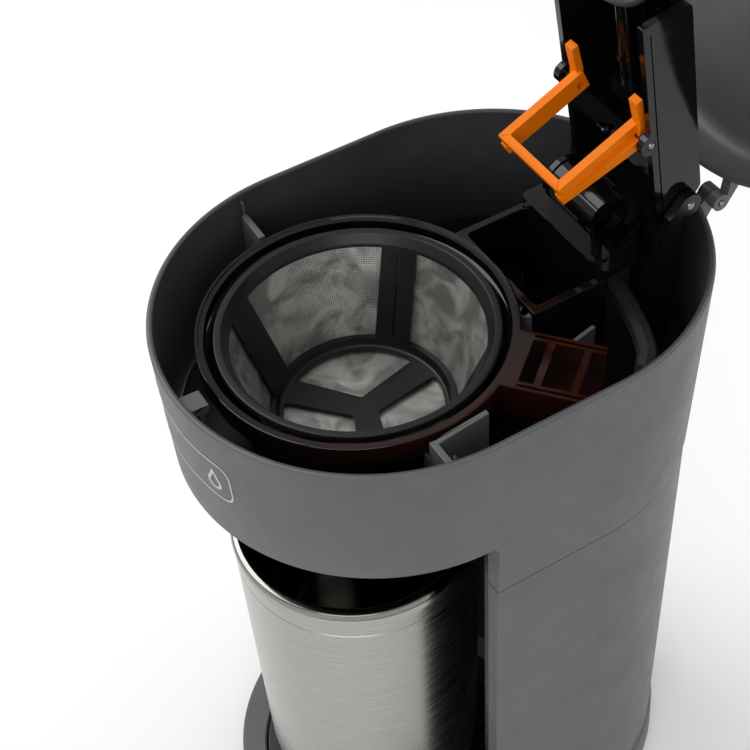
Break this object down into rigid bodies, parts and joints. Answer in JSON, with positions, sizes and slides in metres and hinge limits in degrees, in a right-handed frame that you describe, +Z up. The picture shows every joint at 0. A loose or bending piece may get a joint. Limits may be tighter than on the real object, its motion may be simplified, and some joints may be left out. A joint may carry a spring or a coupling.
{
  "type": "drip coffee maker",
  "caption": "Single-serve drip coffee maker with its lid open: stadium-plan head with basket and mesh cone filter, water tank mouth, rear tower, drip base and steel travel mug.",
  "frame": {"origin": "on the floor, below the middle of the whole object with its lid open, midway between the sides", "axes": "+Z up, -Y towards the mug and the user, +X to the user's right"},
  "size_m": [0.134, 0.1966, 0.4406],
  "materials": {
    "grey_plastic": "fine-grained matte mid grey moulding",
    "black_plastic": "satin black moulding",
    "smoked_plastic": "glossy smoked brown translucent moulding",
    "steel": "brushed stainless steel",
    "rubber": "matt black rubber",
    "aluminium": "as cast",
    "orange_plastic": "matt orange moulding",
    "filter_mesh": "fine woven mesh",
    "lens": "clear tinted lens"
  },
  "bodies": {
    "housing": {"upper_housing": "grey_plastic", "tower_shell": "grey_plastic", "basket_support_left": "grey_plastic", "basket_support_right": "grey_plastic", "seat_bracket": "grey_plastic", "front_catch": "grey_plastic", "base_shell": "grey_plastic", "bay_liner": "black_plastic", "inner_deck": "black_plastic", "base_plate": "black_plastic", "hinge_post": "black_plastic", "button_bezel": "black_plastic", "switch_body": "black_plastic", "cord_gland": "black_plastic", "check_valve": "black_plastic", "water_tank": "smoked_plastic", "fill_neck": "smoked_plastic", "spout_block": "smoked_plastic", "hinge_pin_left": "steel", "hinge_pin_right": "steel", "lid_pin_left": "steel", "lid_pin_right": "steel", "heater_clamp": "steel", "thermal_fuse": "steel", "base_screw_1": "steel", "base_screw_2": "steel", "base_screw_3": "steel", "base_screw_4": "steel", "neck_seal": "rubber", "inlet_hose": "rubber", "riser_hose": "rubber", "rubber_foot_1": "rubber", "rubber_foot_2": "rubber", "rubber_foot_3": "rubber", "rubber_foot_4": "rubber", "heater": "aluminium", "thermostat": "aluminium"},
    "lid": {"lid_cover": "grey_plastic"},
    "arm": {"arm_channel": "smoked_plastic", "shower_head": "black_plastic", "arm_water_tube": "smoked_plastic"},
    "seal": {"seal_frame": "orange_plastic", "seal_pin_left": "steel", "seal_pin_right": "steel"},
    "basket": {"brew_basket": "smoked_plastic"},
    "filter": {"filter_frame": "black_plastic", "filter_mesh": "filter_mesh"},
    "tray": {"drip_tray": "black_plastic"},
    "grate": {"drip_grate": "black_plastic"},
    "mug": {"mug_shell": "steel", "mug_liner": "steel", "mug_pad": "rubber"},
    "button": {"power_button": "grey_plastic", "indicator_lens": "lens"}
  },
  "joints": [
    {"name": "lid_hinge", "type": "hinge", "parent": "housing", "child": "lid", "pos_m": [0, 0.0803, 0.262], "axis": [-1, 0, 0], "range_deg": [-90, 0]},
    {"name": "arm_hinge", "type": "hinge", "parent": "housing", "child": "arm", "pos_m": [0, 0.0648, 0.271], "axis": [-1, 0, 0], "range_deg": [-81, 0]},
    {"name": "seal_frame_fold", "type": "hinge", "parent": "arm", "child": "seal", "pos_m": [0, 0.0505, 0.2982], "axis": [1, 0, 0], "range_deg": [-106, 0]},
    {"name": "basket_lift", "type": "slide", "parent": "housing", "child": "basket", "axis": [0, 0, 1], "range_m": [0, 0.12]},
    {"name": "filter_lift", "type": "slide", "parent": "basket", "child": "filter", "axis": [0, 0, 1], "range_m": [0, 0.1]},
    {"name": "tray_lift", "type": "slide", "parent": "housing", "child": "tray", "axis": [0, 0, 1], "range_m": [0, 0.012]},
    {"name": "grate_lift", "type": "slide", "parent": "tray", "child": "grate", "axis": [0, 0, 1], "range_m": [0, 0.01]},
    {"name": "mug_slide", "type": "slide", "parent": "grate", "child": "mug", "axis": [0, -1, 0], "range_m": [0, 0.12]},
    {"name": "power_button_press", "type": "slide", "parent": "housing", "child": "button", "axis": [-1, 0, 0], "range_m": [0, 0.0018], "stiffness_N_per_m": 500}
  ],
  "couplings": [
    {"joint": "arm_hinge", "follows": "lid_hinge", "ratio": 0.9},
    {"joint": "seal_frame_fold", "follows": "lid_hinge", "ratio": 1.1723}
  ]
}
